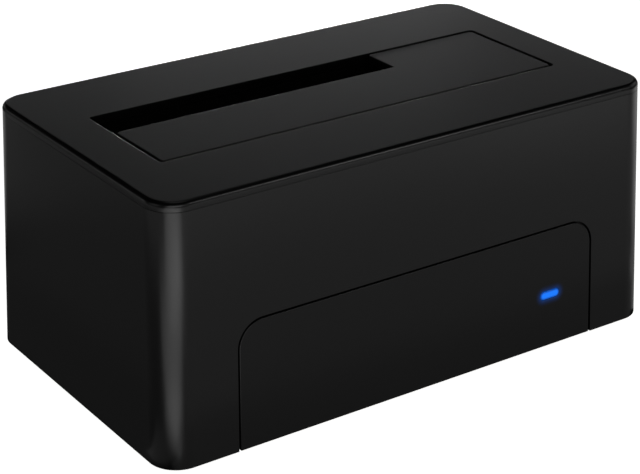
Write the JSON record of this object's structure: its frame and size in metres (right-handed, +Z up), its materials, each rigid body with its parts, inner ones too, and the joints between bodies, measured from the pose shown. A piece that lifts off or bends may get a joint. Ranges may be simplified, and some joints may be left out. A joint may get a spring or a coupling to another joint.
{
  "type": "hard drive docking station",
  "caption": "Upright drive dock: drafted black case with a sprung L-shaped flap over the drive bay, a lit front panel, and data, power and switch at the rear.",
  "frame": {"origin": "on the table under the middle of the case", "axes": "+X along the case to the right seen from the front, -Y out of the front, +Z up"},
  "size_m": [0.13, 0.0764, 0.0589],
  "materials": {
    "case_plastic": "fine moulded texture, matte black",
    "panel_plastic": "fine moulded texture, deeper black",
    "flap_plastic": "fine moulded texture, matte black",
    "well_plastic": "moulded, black",
    "steel": "ground",
    "spring_steel": "drawn wire",
    "screw_steel": "black zinc plate",
    "tin_plate": "bright tin plate",
    "gold_plate": "gold flash",
    "socket_plastic": "moulded, black",
    "port_plastic": "moulded, blue",
    "plunger_plastic": "moulded, off-white",
    "button_plastic": "polished, black",
    "board_laminate": "green solder resist",
    "chip_epoxy": "moulded epoxy",
    "chip_ceramic": "fired ceramic",
    "ferrite": "pressed ferrite",
    "capacitor_can": "drawn can",
    "lamp_resin": "clear resin",
    "lit_acrylic": "clear acrylic lit blue",
    "foot_rubber": "moulded, black"
  },
  "bodies": {
    "dock": {"body_shell": "case_plastic", "top_cover": "case_plastic", "front_panel": "panel_plastic", "bottom_cover": "case_plastic", "drive_well": "well_plastic", "flap_hinge_pin": "steel", "flap_spring": "spring_steel", "sata_housing": "socket_plastic", "sata_contacts": "gold_plate", "main_board": "board_laminate", "bridge_chip": "chip_epoxy", "flash_chip": "chip_epoxy", "crystal_can": "steel", "voltage_regulators": "chip_epoxy", "power_inductors": "ferrite", "bulk_capacitors": "capacitor_can", "chip_capacitors": "chip_ceramic", "chip_resistors": "chip_epoxy", "status_led": "lamp_resin", "light_pipe": "lit_acrylic", "usb_shell": "tin_plate", "usb_insert": "port_plastic", "usb_contacts": "gold_plate", "dc_jack_body": "socket_plastic", "dc_jack_pin": "tin_plate", "dc_jack_leaf": "gold_plate", "switch_body": "socket_plastic", "switch_spring": "spring_steel", "rubber_feet": "foot_rubber", "case_screws": "screw_steel", "pcb_screws": "screw_steel", "well_screws": "screw_steel"},
    "flap": {"drive_flap": "flap_plastic"},
    "button": {"power_button": "button_plastic", "switch_plunger": "plunger_plastic"}
  },
  "joints": [
    {"name": "flap_swing", "type": "hinge", "parent": "dock", "child": "flap", "pos_m": [0.0005, -0.01755, 0.0543], "axis": [-1, 0, 0], "range_deg": [0, 90], "stiffness_Nm_per_rad": 0.004, "springref_deg": -34.38, "deforming": ["flap_spring"]},
    {"name": "button_press", "type": "slide", "parent": "dock", "child": "button", "axis": [0, -1, 0], "range_m": [0, 0.0016], "stiffness_N_per_m": 400, "springref_m": -0.002, "deforming": ["switch_spring"]}
  ]
}
